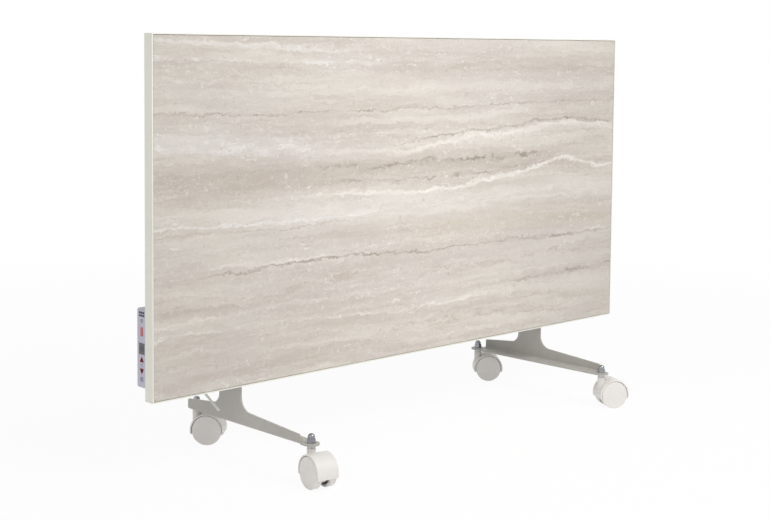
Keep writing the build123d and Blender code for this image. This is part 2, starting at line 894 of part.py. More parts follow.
with BuildPart() as pilot_lamp:
    with BuildSketch(Plane.YZ.offset(control_left - label_thickness - pilot_proud)):
        with Locations((control_mid_y, pilot_level)):
            SlotOverall(pilot_height, pilot_width, rotation=90)
    extrude(amount=label_thickness + pilot_proud + control_wall)
    fillet(pilot_lamp.faces().sort_by(Axis.X)[0].edges(), pilot_proud * 0.8)
save(pilot_lamp, "pilot_lamp")

module_front = window_front + window_thickness + slip
board_front = control_left + control_wall + slip + key_flange + key_travel + slip + switch_size / 3
with BuildPart() as display_module:
    with BuildSketch(Plane.YZ.offset(module_front)):
        with Locations((control_mid_y, window_level)):
            Rectangle(window_width - module_margin, window_height - module_margin)
    extrude(amount=board_front - module_front)
save(display_module, "display_module")

with BuildPart() as key_board:
    with BuildSketch(Plane.YZ.offset(board_front)):
        with Locations((control_mid_y, control_z)):
            Rectangle(key_board_width, key_board_height)
    extrude(amount=board_thickness)
save(key_board, "key_board")

with BuildPart() as key_switches:
    with BuildSketch(Plane.YZ.offset(board_front)):
        for level in key_levels.values():
            with Locations((control_mid_y, level)):
                Rectangle(switch_size, switch_size)
    extrude(amount=-switch_size / 3)
save(key_switches, "key_switches")

for key in key_levels:
    with BuildPart() as button:
        with BuildSketch(Plane.YZ.offset(control_left - label_thickness - key_proud)):
            key_outline(key, 0)
        extrude(amount=label_thickness + key_proud + control_wall + slip)
        fillet(button.faces().sort_by(Axis.X)[0].edges(), key_proud * 0.45)
        with BuildSketch(Plane.YZ.offset(control_left + control_wall + slip)):
            key_outline(key, key_flange_margin)
        extrude(amount=key_flange)
    save(button, key)

# Power board with its relay and transformer, on the base's posts
with BuildPart() as power_board:
    with BuildSketch(facing(board_back + board_thickness)):
        with Locations((control_x, control_z)):
            Rectangle(power_board_width, power_board_height)
    extrude(amount=board_thickness)
save(power_board, "power_board")

for name, size, place in (
    ("relay", relay_size, relay_offset),
    ("transformer", transformer_size, transformer_offset),
):
    with BuildPart() as block:
        with BuildSketch(facing(board_back + board_thickness + size[2])):
            with Locations((control_x + place[0], control_z + place[1])):
                Rectangle(size[0], size[1])
        extrude(amount=size[2])
        chamfer(block.faces().sort_by(Axis.Y)[-1].edges(), slip * 2)
    save(block, name)

# Mains inlet: a hollow gland with its lock nut
inlet_place = (control_x + inlet_offset_x, control_mid_y)
with BuildPart() as mains_inlet:
    with BuildSketch(Plane.XY.offset(control_bottom)):
        with Locations(inlet_place):
            RegularPolygon(inlet_hex_width / 2, 6, major_radius=False)
    extrude(amount=-inlet_hex_height)
    with BuildSketch(Plane.XY.offset(control_bottom - inlet_hex_height)):
        with Locations(inlet_place):
            Circle(inlet_nose_radius)
    extrude(amount=-inlet_nose_height)
    fillet(mains_inlet.edges().group_by(Axis.Z)[0], inlet_nose_height / 4)
    with BuildSketch(Plane.XY.offset(control_bottom)):
        with Locations(inlet_place):
            Circle(inlet_thread_radius)
    extrude(amount=inlet_thread_length)
    with BuildSketch(Plane.XY.offset(control_bottom + inlet_thread_length)):
        with Locations(inlet_place):
            Circle(inlet_bore_radius)
    extrude(
        amount=-(inlet_thread_length + inlet_hex_height + inlet_nose_height),
        mode=Mode.SUBTRACT,
    )
save(mains_inlet, "mains_inlet")

with BuildPart() as inlet_nut:
    with BuildSketch(Plane.XY.offset(control_bottom + control_wall)):
        with Locations(inlet_place):
            RegularPolygon(inlet_nut_width / 2, 6, major_radius=False)
            Circle(inlet_thread_radius + screw_clearance, mode=Mode.SUBTRACT)
    extrude(amount=inlet_nut_height)
save(inlet_nut, "inlet_nut")

# Room sensor: a bent tube that leaves the housing's inner side and slopes down past the panel's edge
sensor_z = panel_bottom + sensor_rise
sensor_way = Vector(cos(radians(sensor_slope)), 0, -sin(radians(sensor_slope)))
sensor_corner = Vector(control_right + sensor_bend_out, control_mid_y, sensor_z)
sensor_end = sensor_corner + sensor_way * sensor_reach
tip_start = sensor_end - sensor_way * sensor_tip_length
tube_end = tip_start + sensor_way * sensor_tip_grip
tube_start = Vector(control_right - 2 * control_wall, control_mid_y, sensor_z)

with BuildPart() as sensor_gland:
    with BuildSketch(Plane.YZ.offset(control_right - 2 * control_wall)):
        with Locations((control_mid_y, sensor_z)):
            Circle(sensor_gland_radius)
    extrude(amount=2 * control_wall + sensor_gland_nose)
    with BuildSketch(Plane.YZ.offset(control_right)):
        with Locations((control_mid_y, sensor_z)):
            Circle(sensor_gland_flange)
    extrude(amount=sensor_gland_nose / 2)
    with BuildSketch(Plane.YZ.offset(control_right - 2 * control_wall)):
        with Locations((control_mid_y, sensor_z)):
            Circle(sensor_tube_radius + screw_clearance)
    extrude(amount=2 * control_wall + sensor_gland_nose, mode=Mode.SUBTRACT)
save(sensor_gland, "sensor_gland")

with BuildPart() as sensor_tube:
    with BuildLine() as sensor_path:
        FilletPolyline(tube_start, sensor_corner, tube_end, radius=sensor_bend_radius)
    with BuildSketch(Plane(tube_start, x_dir=(0, 1, 0), z_dir=(1, 0, 0))):
        Circle(sensor_tube_radius)
    sweep(path=sensor_path.wire())
save(sensor_tube, "sensor_tube")

with BuildPart() as sensor_tip:
    with BuildSketch(Plane(tip_start, x_dir=(0, 1, 0), z_dir=sensor_way)):
        Circle(sensor_tip_radius)
    extrude(amount=sensor_tip_length)
    fillet(
        sensor_tip.edges().filter_by(GeomType.CIRCLE).sort_by(Axis(tip_start, sensor_way))[-1],
        sensor_tip_radius * 0.8,
    )
    with BuildSketch(Plane(tip_start, x_dir=(0, 1, 0), z_dir=sensor_way)):
        Circle(sensor_tube_radius + screw_clearance)
    extrude(amount=sensor_tip_grip + slip, mode=Mode.SUBTRACT)
save(sensor_tip, "sensor_tip")

# Wiring behind the film
with BuildPart() as cable_grommet:
    with BuildSketch(facing(base_back + grommet_flange)):
        with Locations(grommet_place):
            Circle(grommet_flange_radius)
    extrude(amount=grommet_flange)
    with BuildSketch(facing(cover_front)):
        with Locations(grommet_place):
            Circle(grommet_flange_radius)
    extrude(amount=grommet_flange)
    with BuildSketch(facing(base_back)):
        with Locations(grommet_place):
            Circle(grommet_radius)
    extrude(amount=base_back - cover_front)
    with BuildSketch(facing(base_back + grommet_flange)):
        with Locations(grommet_place):
            Circle(grommet_bore)
    extrude(amount=base_back - cover_front + 2 * grommet_flange, mode=Mode.SUBTRACT)
save(cable_grommet, "cable_grommet")

service_x = service_left + service_width / 2
terminal_place = (service_x, panel_bottom + terminal_rise)
with BuildPart() as terminal_block:
    with BuildSketch(facing(cover_front)):
        with Locations(terminal_place):
            Rectangle(terminal_size[0], terminal_size[2])
    extrude(amount=terminal_size[1])
    with BuildSketch(facing(cover_front - terminal_size[1])):
        with Locations(terminal_place):
            with GridLocations(terminal_size[0] / 3, terminal_size[2] / 2, 3, 2):
                Circle(lead_radius * 1.5)
    extrude(amount=-terminal_size[1] / 2, mode=Mode.SUBTRACT)
save(terminal_block, "terminal_block")

cutout_place = (service_left + service_width - 2 * cutout_radius, panel_bottom + cutout_rise)
with BuildPart() as thermal_cutout:
    with BuildSketch(facing(film_back + cutout_height)):
        with Locations(cutout_place):
            Circle(cutout_radius)
    extrude(amount=cutout_height)
    with BuildSketch(facing(film_back + cutout_height + 2 * lead_radius)):
        with Locations(cutout_place):
            with GridLocations(cutout_radius, 1, 2, 1):
                Rectangle(2 * lead_radius, 4 * lead_radius)
    extrude(amount=2 * lead_radius)
save(thermal_cutout, "thermal_cutout")

# Leads: to the upper busbar, to the lower one, and to the thermal cut-out
lead_y = film_back + riser_depth / 2
side_y = cover_front - terminal_size[1] / 2
block_left = terminal_place[0] - terminal_size[0] / 2 - slip
block_right = terminal_place[0] + terminal_size[0] / 2 + slip
upper_lead = (
    (block_left, side_y, terminal_place[1]),
    (riser_x, side_y, terminal_place[1]),
    (riser_x, lead_y, panel_bottom + service_top),
    (riser_x, lead_y, busbar_levels[1] - busbar_width / 2 - slip),
)
lower_lead = (
    (block_left, side_y, terminal_place[1] - terminal_size[2] / 4),
    (riser_x + 6 * lead_radius, side_y, terminal_place[1] - terminal_size[2] / 4),
    (riser_x + 6 * lead_radius, lead_y, busbar_levels[0] + busbar_width / 2 + slip),
)
cutout_lead = (
    (block_right, side_y, terminal_place[1]),
    (cutout_place[0], side_y, terminal_place[1]),
    (cutout_place[0], side_y, cutout_place[1] + cutout_radius),
)
with BuildPart() as inner_leads:
    for route in (upper_lead, lower_lead, cutout_lead):
        with BuildLine() as path:
            FilletPolyline(*route, radius=2 * lead_radius)
        with BuildSketch(Plane(path.line @ 0, z_dir=path.line % 0)):
            Circle(lead_radius)
        sweep(path=path.wire())
save(inner_leads, "inner_leads")

print(len(os.listdir("parts")), "pieces; panel depth", round(panel_depth, 2), "height", round(panel_top, 2))
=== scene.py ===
"""Dresses the infrared panel heater: stone-look tile, coated steel, moulded castors and thermostat unit."""

import json
import logging
import math
from dataclasses import dataclass
from enum import Enum
from typing import Callable, Sequence

import bpy
from mathutils import Matrix, Vector

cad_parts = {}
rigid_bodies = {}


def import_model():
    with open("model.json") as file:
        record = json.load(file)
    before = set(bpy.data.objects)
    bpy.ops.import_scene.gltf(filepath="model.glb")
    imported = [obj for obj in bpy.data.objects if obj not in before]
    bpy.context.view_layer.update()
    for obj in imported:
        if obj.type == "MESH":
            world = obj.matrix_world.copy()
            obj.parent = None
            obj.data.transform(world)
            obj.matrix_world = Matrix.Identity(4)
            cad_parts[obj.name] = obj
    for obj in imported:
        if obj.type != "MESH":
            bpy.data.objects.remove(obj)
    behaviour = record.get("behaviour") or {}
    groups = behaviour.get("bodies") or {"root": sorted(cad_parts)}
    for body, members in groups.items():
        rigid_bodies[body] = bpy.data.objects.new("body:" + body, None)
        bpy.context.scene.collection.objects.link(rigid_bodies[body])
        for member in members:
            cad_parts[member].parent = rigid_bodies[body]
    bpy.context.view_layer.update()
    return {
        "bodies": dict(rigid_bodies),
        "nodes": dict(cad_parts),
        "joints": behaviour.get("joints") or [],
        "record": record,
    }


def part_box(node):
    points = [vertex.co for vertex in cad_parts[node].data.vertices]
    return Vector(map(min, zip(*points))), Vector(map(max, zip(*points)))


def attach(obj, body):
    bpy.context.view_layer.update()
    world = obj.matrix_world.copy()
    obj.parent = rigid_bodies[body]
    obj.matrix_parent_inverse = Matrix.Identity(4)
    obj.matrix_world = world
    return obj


log = logging.getLogger("heater")
Colour = tuple[float, float, float]
Point = tuple[float, float]
Grain = tuple[float, float, float]
MM = 0.001


def linear(colour: Colour) -> tuple[float, float, float, float]:
    """Turns a screen colour of 0 to 255 into linear light, with full opacity."""
    steps = [c / 255 for c in colour]
    light = [s / 12.92 if s <= 0.04045 else ((s + 0.055) / 1.055) ** 2.4 for s in steps]
    return (light[0], light[1], light[2], 1.0)


class Graph:
    """One material's node tree, built by short calls that return output sockets."""

    def __init__(self, name: str) -> None:
        """Makes an empty material with a principled shader.

        Args:
            name: Name of the material.
        """
        self.material = bpy.data.materials.new(name)
        self.material.use_nodes = True
        self.tree = self.material.node_tree
        self.tree.nodes.clear()
        self.shader = self.tree.nodes.new("ShaderNodeBsdfPrincipled")
        output = self.tree.nodes.new("ShaderNodeOutputMaterial")
        self.tree.links.new(self.shader.outputs[0], output.inputs[0])
        self.place = self.tree.nodes.new("ShaderNodeTexCoord").outputs["Object"]

    def node(self, kind: str, inputs: dict, **settings: object) -> bpy.types.Node:
        """Adds one node.

        Args:
            kind: Node type without the ShaderNode prefix.
            inputs: Input index or name to a socket or a constant.
            settings: Properties of the node.

        Returns:
            The new node.
        """
        made = self.tree.nodes.new("ShaderNode" + kind)
        for key, value in settings.items():
            setattr(made, key, value)
        for key, value in inputs.items():
            if isinstance(value, bpy.types.NodeSocket):
                self.tree.links.new(value, made.inputs[key])
            else:
                made.inputs[key].default_value = value
        return made

    def math(self, operation: str, a: object, b: object = 0.0) -> bpy.types.NodeSocket:
        """Returns the result of one arithmetic step on two values."""
        return self.node("Math", {0: a, 1: b}, operation=operation).outputs[0]

    def stretched(self, scale: Sequence[float], vector: object = None) -> bpy.types.NodeSocket:
        """Returns the object's coordinates, or the vector, scaled along each axis."""
        source = self.place if vector is None else vector
        return self.node("Mapping", {"Vector": source, "Scale": tuple(scale)}).outputs[0]

    def noise(
        self, vector: object, scale: float, detail: float = 4.0, rough: float = 0.55, swirl: float = 0.0
    ) -> bpy.types.NodeSocket:
        """Adds cloudy noise.

        Args:
            vector: Socket with the place to sample.
            scale: Grains to a unit of the vector.
            detail: Count of finer layers.
            rough: Weight of the finer layers.
            swirl: How far the noise is stirred.

        Returns:
            A value of about 0.3 to 0.7.
        """
        inputs = {"Vector": vector, "Scale": scale, "Detail": detail, "Roughness": rough, "Distortion": swirl}
        return self.node("TexNoise", inputs).outputs[0]

    def step(self, value: object, low: float, high: float, to: Point = (0.0, 1.0)) -> bpy.types.NodeSocket:
        """Returns a smooth step from to[0] at low to to[1] at high."""
        if low > high:
            low, high, to = high, low, (to[1], to[0])
        inputs = {"Value": value, "From Min": low, "From Max": high, "To Min": to[0], "To Max": to[1]}
        return self.node("MapRange", inputs, interpolation_type="SMOOTHSTEP").outputs[0]

    def mix(self, factor: object, a: object, b: object, blend: str = "MIX") -> bpy.types.NodeSocket:
        """Returns colour a mixed towards colour b by the factor."""
        made = self.node("Mix", {0: factor, 6: a, 7: b}, data_type="RGBA", blend_type=blend)
        return made.outputs[2]

    def relief(self, height: object, strength: float, distance: float) -> None:
        """Gives the shader a bump of that height, its distance in metres."""
        bump = self.node("Bump", {"Height": height, "Strength": strength, "Distance": distance})
        self.tree.links.new(bump.outputs[0], self.shader.inputs["Normal"])

    def wire(self, **inputs: object) -> None:
        """Sets the shader's sockets, each named with underscores, to sockets or constants."""
        for key, value in inputs.items():
            socket = self.shader.inputs[key.replace("_", " ")]
            if isinstance(value, bpy.types.NodeSocket):
                self.tree.links.new(value, socket)
            else:
                socket.default_value = value


class Surface(Enum):
    """How a plain finish catches the light."""

    POWDER = "powder coat"
    MOULDED = "moulded plastic"
    BRUSHED = "plated or drawn metal"
    BRIGHT = "bright chrome"
    FIBRE = "pressed fibre"
    CLEAR = "tinted window"


@dataclass(frozen=True)
class Finish:
    """One finish of the heater: its colour, how it varies, its gloss and its grain."""

    name: str
    surface: Surface
    colour: Colour
    shade: Colour
    gloss: float
    grain: float = 900.0
    depth: float = 0.25

    def material(self) -> bpy.types.Material:
        """Builds the node material of this finish.

        Returns:
            The material.
        """
        graph = Graph(self.name)
        metal = self.surface in (Surface.BRUSHED, Surface.BRIGHT)
        drawn = (6.0, 6.0, 0.4) if self.surface is Surface.BRUSHED else (1.0, 1.0, 1.0)
        grain = graph.noise(graph.stretched(drawn), self.grain, 3.0, 0.6)
        clouds = graph.noise(graph.place, 7.0, 4.0, 0.6)
        patches = graph.noise(graph.place, 60.0, 5.0, 0.65)
        tone = graph.math("ADD", graph.math("MULTIPLY", clouds, 0.6), graph.math("MULTIPLY", patches, 0.4))
        tone = graph.step(tone, 0.36, 0.64)
        colour = graph.mix(tone, linear(self.shade), linear(self.colour))
        speckle = graph.step(grain, 0.3, 0.7, (0.94, 1.03))
        colour = graph.mix(1.0, colour, self.tint(graph, speckle), "MULTIPLY")
        spread = 0.10 if self.surface is Surface.POWDER else 0.06
        rough = graph.step(patches, 0.3, 0.7, (max(self.gloss - spread, 0.02), self.gloss + spread))
        graph.wire(Base_Color=colour, Roughness=rough, Metallic=1.0 if metal else 0.0)
        if self.surface is Surface.CLEAR:
            graph.wire(Coat_Weight=1.0, Coat_Roughness=0.05, IOR=1.5)
        elif self.surface is Surface.MOULDED:
            graph.wire(IOR=1.46, Specular_IOR_Level=0.45)
        elif self.surface is Surface.FIBRE:
            graph.wire(Sheen_Weight=0.3, Sheen_Roughness=0.6)
        graph.relief(grain, self.depth, 0.0004)
        return graph.material

    @staticmethod
    def tint(graph: Graph, value: object) -> bpy.types.NodeSocket:
        """Returns a grey colour of that value."""
        return graph.node("CombineColor", {0: value, 1: value, 2: value}).outputs[0]


@dataclass(frozen=True)
class Vein:
    """One vein or bed of the stone, as a line of places across and down the tile, in millimetres."""

    line: tuple[Point, ...]
    width: float
    colour: Colour
    strength: float
    broken: float = 0.0
    reach: Point = (-100.0, 1300.0)
    fade: float = 160.0


WHITE_STREAK: Colour = (243, 240, 237)
VEINS: tuple[Vein, ...] = (
    Vein(
        ((0, 12), (300, 20), (620, 28)),
        width=6, colour=WHITE_STREAK, strength=0.5, broken=0.3, reach=(-100, 420),
    ),
    Vein(
        ((0, 40), (300, 46), (560, 53)),
        width=5, colour=WHITE_STREAK, strength=0.6, broken=0.7, reach=(-100, 500),
    ),
    Vein(
        ((420, 62), (700, 54), (1000, 60), (1200, 70)),
        width=15, colour=(188, 174, 161), strength=0.5, broken=0.8, reach=(500, 1300),
    ),
    Vein(
        ((0, 98), (400, 102), (800, 96), (1200, 104)),
        width=13, colour=(228, 222, 214), strength=0.5, broken=0.5,
    ),
    Vein(
        ((0, 131), (250, 135), (600, 134), (900, 131), (1200, 128)),
        width=2.2, colour=(164, 149, 137), strength=0.75, broken=0.45,
    ),
    Vein(
        ((300, 152), (560, 156), (900, 146)),
        width=9, colour=(240, 235, 228), strength=0.45, broken=0.2, reach=(380, 900),
    ),
    Vein(
        ((0, 181), (160, 186), (340, 198)),
        width=24, colour=(236, 230, 228), strength=0.85, broken=0.6, reach=(-100, 380), fade=220,
    ),
    Vein(
        ((500, 204), (700, 186), (850, 177), (1010, 166), (1200, 178)),
        width=3, colour=(150, 136, 124), strength=0.7, broken=0.5, reach=(560, 1300),
    ),
    Vein(
        ((0, 208), (400, 207), (560, 215), (700, 196), (900, 186), (1010, 176), (1200, 186)),
        width=8, colour=(244, 239, 232), strength=0.8, broken=0.4, reach=(470, 1300), fade=420,
    ),
    Vein(
        ((0, 240), (300, 246), (500, 241), (800, 242), (1000, 240), (1200, 226)),
        width=31, colour=(190, 178, 168), strength=0.7, broken=0.35, reach=(-100, 1040),
    ),
    Vein(
        ((350, 232), (480, 240), (620, 236), (860, 234), (1000, 238)),
        width=7, colour=(146, 132, 120), strength=0.8, broken=0.85, reach=(380, 980),
    ),
    Vein(
        ((400, 262), (600, 268), (800, 262), (950, 250)),
        width=5, colour=(155, 141, 129), strength=0.65, broken=0.85, reach=(380, 960),
    ),
    Vein(
        (
            (0, 277), (250, 284), (450, 284), (650, 292), (800, 276),
            (950, 262), (1040, 246), (1120, 264), (1200, 268),
        ),
        width=6, colour=(246, 242, 236), strength=0.85, broken=0.4, reach=(330, 1300), fade=560,
    ),
    Vein(
        ((200, 312), (600, 320), (1000, 316), (1200, 322)),
        width=36, colour=(236, 231, 225), strength=0.6, broken=0.45, reach=(200, 1240), fade=300,
    ),
    Vein(
        ((0, 318), (300, 324), (560, 318)),
        width=3, colour=WHITE_STREAK, strength=0.7, broken=0.3, reach=(-100, 480),
    ),
    Vein(
        ((0, 330), (300, 334), (560, 328)),
        width=2, colour=(176, 162, 150), strength=0.5, broken=0.5, reach=(-100, 480),
    ),
    Vein(
        ((500, 372), (800, 366), (1200, 380)),
        width=27, colour=(204, 190, 174), strength=0.6, broken=0.35, reach=(600, 1300),
    ),
    Vein(
        ((0, 388), (300, 392), (520, 398)),
        width=6, colour=(240, 235, 229), strength=0.55, broken=0.5, reach=(100, 420),
    ),
    Vein(
        ((150, 403), (400, 398), (680, 408), (860, 403), (1000, 409), (1200, 405)),
        width=3.2, colour=(158, 143, 130), strength=0.8, broken=0.55, reach=(120, 1300),
    ),
    Vein(
        ((0, 446), (250, 450), (400, 432), (700, 444), (1200, 440)),
        width=20, colour=(189, 175, 163), strength=0.55, broken=0.85,
    ),
    Vein(
        ((0, 476), (400, 470), (800, 474), (1200, 466)),
        width=7, colour=(234, 228, 221), strength=0.5, broken=0.75,
    ),
    Vein(
        ((0, 500), (200, 494), (520, 512), (900, 504)),
        width=4, colour=(241, 237, 232), strength=0.65, broken=0.8, reach=(-100, 900),
    ),
    Vein(
        ((820, 494), (1000, 490), (1200, 484)),
        width=4, colour=(160, 146, 133), strength=0.7, broken=0.7, reach=(880, 1300),
    ),
    Vein(
        ((500, 552), (740, 545), (1000, 562)),
        width=15, colour=(186, 172, 159), strength=0.6, broken=0.8, reach=(520, 1040),
    ),
    Vein(
        ((0, 580), (300, 570), (700, 584), (1200, 576)),
        width=12, colour=(196, 184, 174), strength=0.5, broken=0.6,
    ),
)


@dataclass(frozen=True)
class Travertine:
    """Honed stone-look face: fine strata, paler and darker veins, flecks and small pits, with painted light
    across its middle and painted shade towards both sides.
    """

    name: str = "tile_face"
    width: float = 1200.0
    height: float = 600.0
    top: float = 0.7425
    roughness: Point = (0.42, 0.62)
    tan: Colour = (201, 192, 181)
    pale: Colour = (226, 220, 211)
    white: Colour = (243, 240, 237)
    brown: Colour = (166, 154, 144)
    blush: Colour = (203, 194, 189)
    # Painted light and shade: colour factor at the tile's middle and towards its left and right sides.
    painted_light_falloff: Point = (1.05, 0.90)
    veins: tuple[Vein, ...] = VEINS
    drift_reach: float = 14.0
    ripple_reach: float = 27.0
    crinkle_reach: float = 17.0
    broad_beds: Grain = (0.0016, 1.0, 0.028)
    fine_beds: Grain = (0.006, 1.0, 0.16)
    hair_beds: Grain = (0.02, 1.0, 0.42)
    warm_areas: Grain = (0.0022, 1.0, 0.006)
    vein_wear: Grain = (0.016, 1.0, 0.11)
    fleck_areas: Grain = (0.004, 1.0, 0.014)
    pale_flecks: Grain = (0.045, 1.0, 0.24)
    worm_flecks: Grain = (0.11, 1.0, 0.34)
    brown_threads: Grain = (0.03, 1.0, 0.30)
    pits: Grain = (0.10, 1.0, 0.22)

    def material(self) -> bpy.types.Material:
        """Builds the stone's node material.

        Returns:
            The material.
        """
        graph = Graph(self.name)
        split = graph.node("SeparateXYZ", {0: graph.place}).outputs
        drift = graph.noise(graph.stretched((2.0, 1.0, 6.0)), 1.6, 3.0, 0.5)
        drift = graph.math("SUBTRACT", drift, 0.5)
        ripple = graph.noise(graph.stretched((1.0, 1.0, 2.4)), 16.0, 5.0, 0.62)
        ripple = graph.math("SUBTRACT", ripple, 0.5)
        crinkle = graph.noise(graph.stretched((1.0, 1.0, 1.6)), 75.0, 4.0, 0.6)
        crinkle = graph.math("SUBTRACT", crinkle, 0.5)
        ripple = graph.math("MULTIPLY", ripple, self.ripple_reach)
        wander = graph.math("ADD", graph.math("MULTIPLY", drift, self.drift_reach), ripple)
        wander = graph.math("ADD", wander, graph.math("MULTIPLY", crinkle, self.crinkle_reach))
        down = graph.math("MULTIPLY", graph.math("SUBTRACT", self.top, split[2]), 1000.0)
        down = graph.math("ADD", down, wander)
        across = graph.math("ADD", graph.math("MULTIPLY", split[0], 1000.0), self.width / 2)
        bed = graph.node("CombineXYZ", {0: across, 2: down}).outputs[0]
        colour, height = self.strata(graph, bed)
        for vein in self.veins:
            colour = self.lay(graph, vein, across, down, bed, colour)
        colour, height = self.flecks(graph, bed, colour, height)
        # Painted light and shade: the stone is lightened a little across its middle and darkened towards its
        # sides, standing in for the lamps' falloff.
        aside = graph.math("ABSOLUTE", graph.math("SUBTRACT", across, self.width / 2))
        tone = graph.step(aside, 0.0, self.width * 0.55, self.painted_light_falloff)
        colour = graph.mix(1.0, colour, Finish.tint(graph, tone), "MULTIPLY")
        rough = graph.step(height, 0.3, 0.7, self.roughness)
        graph.wire(Base_Color=colour, Roughness=rough, Specular_IOR_Level=0.35)
        graph.relief(height, 0.35, 0.0005)
        return graph.material

    def strata(self, graph: Graph, bed: object) -> tuple[object, object]:
        """Returns the ground colour of the stone and the height of its fine beds."""
        broad = graph.noise(graph.stretched(self.broad_beds, bed), 1.0, 4.0, 0.6)
        fine = graph.noise(graph.stretched(self.fine_beds, bed), 1.0, 6.0, 0.68)
        hair = graph.noise(graph.stretched(self.hair_beds, bed), 1.0, 4.0, 0.65)
        total = graph.math("ADD", graph.math("MULTIPLY", broad, 0.45), graph.math("MULTIPLY", fine, 0.35))
        total = graph.math("ADD", total, graph.math("MULTIPLY", hair, 0.2))
        ground = graph.mix(graph.step(total, 0.38, 0.62), linear(self.tan), linear(self.pale))
        warm = graph.step(graph.noise(graph.stretched(self.warm_areas, bed), 1.0, 2.0), 0.42, 0.62)
        ground = graph.mix(graph.math("MULTIPLY", warm, 0.35), ground, linear(self.blush))
        return ground, graph.math("ADD", graph.math("MULTIPLY", fine, 0.5), graph.math("MULTIPLY", hair, 0.5))

    def lay(
        self, graph: Graph, vein: Vein, across: object, down: object, bed: object, colour: object
    ) -> object:
        """Lays one vein over the stone.

        Args:
            graph: The stone's node tree.
            vein: The vein.
            across: Place across the tile, in millimetres.
            down: Wandering place down the tile, in millimetres.
            bed: Both places as a vector.
            colour: Colour of the stone so far.

        Returns:
            The colour with the vein.
        """
        course = graph.node("FloatCurve", {1: graph.math("DIVIDE", across, self.width)})
        curve = course.mapping.curves[0]
        places = [(x / self.width, y / self.height) for x, y in vein.line]
        curve.points[0].location, curve.points[-1].location = places[0], places[-1]
        for place in places[1:-1]:
            curve.points.new(*place)
        course.mapping.update()
        off = graph.math("SUBTRACT", down, graph.math("MULTIPLY", course.outputs[0], self.height))
        body = graph.step(graph.math("ABSOLUTE", off), vein.width, vein.width * 0.15)
        begin = graph.step(across, vein.reach[0] - vein.fade / 2, vein.reach[0] + vein.fade / 2)
        end = graph.step(across, vein.reach[1] + vein.fade / 2, vein.reach[1] - vein.fade / 2)
        body = graph.math("MULTIPLY", body, graph.math("MULTIPLY", begin, end))
        grain = graph.noise(graph.stretched(self.vein_wear, bed), 1.0, 5.0, 0.7, 0.6)
        thin, full = 0.50 - vein.broken * 0.02, 0.50 + vein.broken * 0.10
        worn = graph.step(grain, thin, full, (1.0 - vein.broken, 1.0))
        share = graph.math("MULTIPLY", graph.math("MULTIPLY", body, worn), vein.strength)
        return graph.mix(share, colour, linear(vein.colour))

    def flecks(self, graph: Graph, bed: object, colour: object, height: object) -> tuple[object, object]:
        """Returns the colour and height with pale flecks, brown threads and pits added."""
        region = graph.noise(graph.stretched(self.fleck_areas, bed), 1.0, 2.0)
        region = graph.step(region, 0.42, 0.60, (0.25, 1.0))
        pale = graph.noise(graph.stretched(self.pale_flecks, bed), 1.0, 5.0, 0.7, 1.2)
        share = graph.math("MULTIPLY", graph.step(pale, 0.55, 0.64), region)
        colour = graph.mix(graph.math("MULTIPLY", share, 0.6), colour, linear(self.white))
        worm = graph.noise(graph.stretched(self.worm_flecks, bed), 1.0, 3.0, 0.6, 2.4)
        share = graph.math("MULTIPLY", graph.step(worm, 0.60, 0.66), 0.42)
        colour = graph.mix(share, colour, linear(self.white))
        thread = graph.noise(graph.stretched(self.brown_threads, bed), 1.0, 5.0, 0.72, 1.5)
        share = graph.math("MULTIPLY", graph.step(thread, 0.60, 0.68), region)
        colour = graph.mix(graph.math("MULTIPLY", share, 0.5), colour, linear(self.brown))
        pit = graph.step(graph.noise(graph.stretched(self.pits, bed), 1.0, 2.0, 0.5), 0.66, 0.70)
        colour = graph.mix(graph.math("MULTIPLY", pit, 0.35), colour, linear(self.brown))
        return colour, graph.math("SUBTRACT", height, graph.math("MULTIPLY", pit, 0.5))


